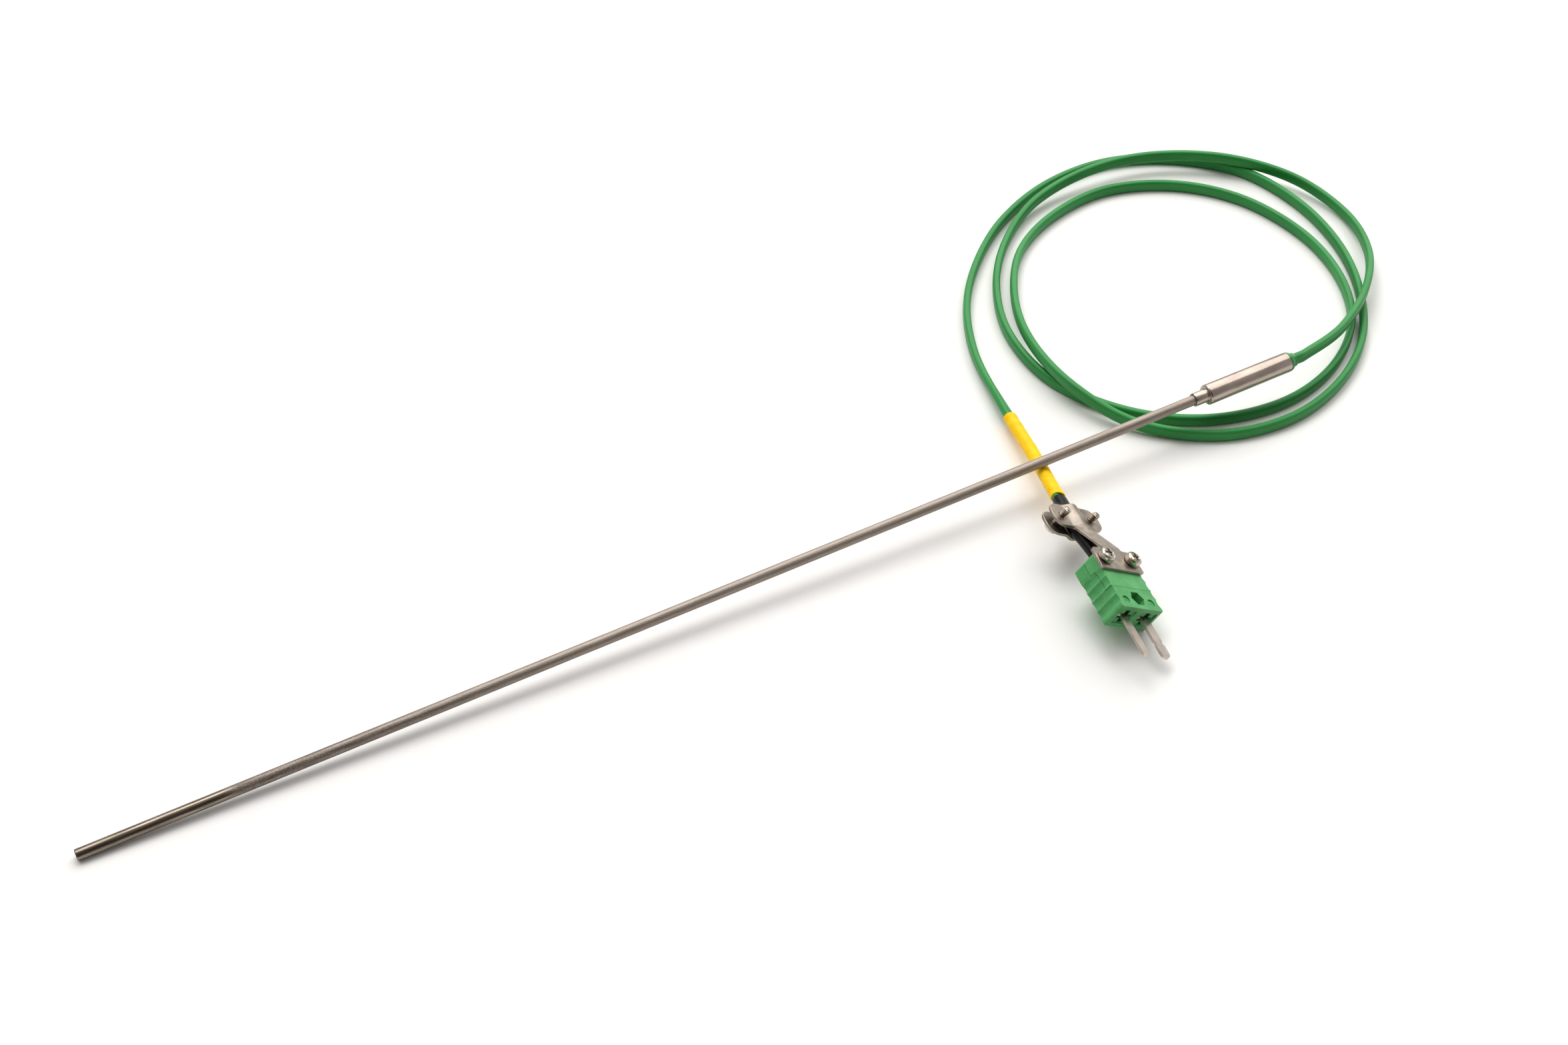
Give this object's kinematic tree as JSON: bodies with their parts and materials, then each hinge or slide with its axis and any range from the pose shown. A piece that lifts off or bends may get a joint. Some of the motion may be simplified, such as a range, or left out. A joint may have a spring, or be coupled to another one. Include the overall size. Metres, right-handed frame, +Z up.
{
  "type": "thermocouple",
  "caption": "Straight mineral insulated thermocouple probe with a steel potted joint, a flat twin lead in a loose coil, and a miniature flat-blade plug with a screwed cable clamp.",
  "frame": {"origin": "on the surface the probe lies on, under the middle of the probe's length (tip to rear seal)", "axes": "+X along the probe in plan, from its closed tip to its pot; +Z up from the surface; +Y to the side where the lead is coiled"},
  "size_m": [0.4331, 0.1962, 0.0189],
  "materials": {
    "sheath": "matt drawn stainless steel",
    "magnesia": "compacted mineral powder",
    "chromel": "bright drawn wire",
    "alumel": "bright drawn wire",
    "weld_bead": "weld bead",
    "pot": "bright stainless steel",
    "resin": "cast epoxy",
    "crimp": "plain crimp sleeve",
    "core_green": "insulated core",
    "core_white": "insulated core",
    "rear_seal": "satin moulded seal",
    "lead_jacket": "satin flexible jacket",
    "marker_sleeve": "satin shrunk sleeve",
    "strain_sleeve": "satin black sleeve",
    "clamp_steel": "pressed stainless sheet",
    "screw_steel": "bright screw steel",
    "brass": "turned brass",
    "plug_plastic": "moulded glass-filled plastic",
    "cover_plastic": "moulded glass-filled plastic",
    "blade_chromel": "satin flat blade",
    "blade_alumel": "satin flat blade"
  },
  "bodies": {
    "probe_and_plug": {"sheath": "sheath", "mgo_insulation": "magnesia", "thermoelement_positive": "chromel", "thermoelement_negative": "alumel", "hot_junction": "weld_bead", "pot": "pot", "potting_resin": "resin", "splice_positive": "crimp", "splice_negative": "crimp", "pot_core_positive": "core_green", "pot_core_negative": "core_white", "rear_seal": "rear_seal", "lead_cable": "lead_jacket", "marker_sleeve": "marker_sleeve", "strain_sleeve": "strain_sleeve", "clamp_bracket": "clamp_steel", "plate_screw_left": "screw_steel", "plate_screw_right": "screw_steel", "plate_insert_left": "brass", "plate_insert_right": "brass", "plug_body": "plug_plastic", "plug_cover": "cover_plastic", "blade_positive": "blade_chromel", "blade_negative": "blade_alumel", "terminal_screw_positive": "brass", "terminal_screw_negative": "brass", "terminal_washer_positive": "brass", "terminal_washer_negative": "brass", "plug_core_positive": "core_green", "plug_core_negative": "core_white"},
    "jaw": {"clamp_jaw": "clamp_steel"},
    "left_screw": {"clamp_screw_left": "screw_steel"},
    "right_screw": {"clamp_screw_right": "screw_steel"}
  },
  "joints": [
    {"name": "jaw_slide", "type": "slide", "parent": "probe_and_plug", "child": "jaw", "axis": [-0.5171, 0.161, -0.8406], "range_m": [0, 0.0015]},
    {"name": "left_screw_turn", "type": "hinge", "parent": "jaw", "child": "left_screw", "pos_m": [0.08207, -0.02414, 0.01443], "axis": [0.5171, -0.161, 0.8406], "range_deg": [-1210, 10]},
    {"name": "right_screw_turn", "type": "hinge", "parent": "jaw", "child": "right_screw", "pos_m": [0.09171, -0.02475, 0.00838], "axis": [0.5171, -0.161, 0.8406], "range_deg": [-1210, 10]}
  ],
  "couplings": [
    {"joint": "left_screw_turn", "follows": "jaw_slide", "rad_per_m": -13963},
    {"joint": "right_screw_turn", "follows": "jaw_slide", "rad_per_m": -13963}
  ]
}
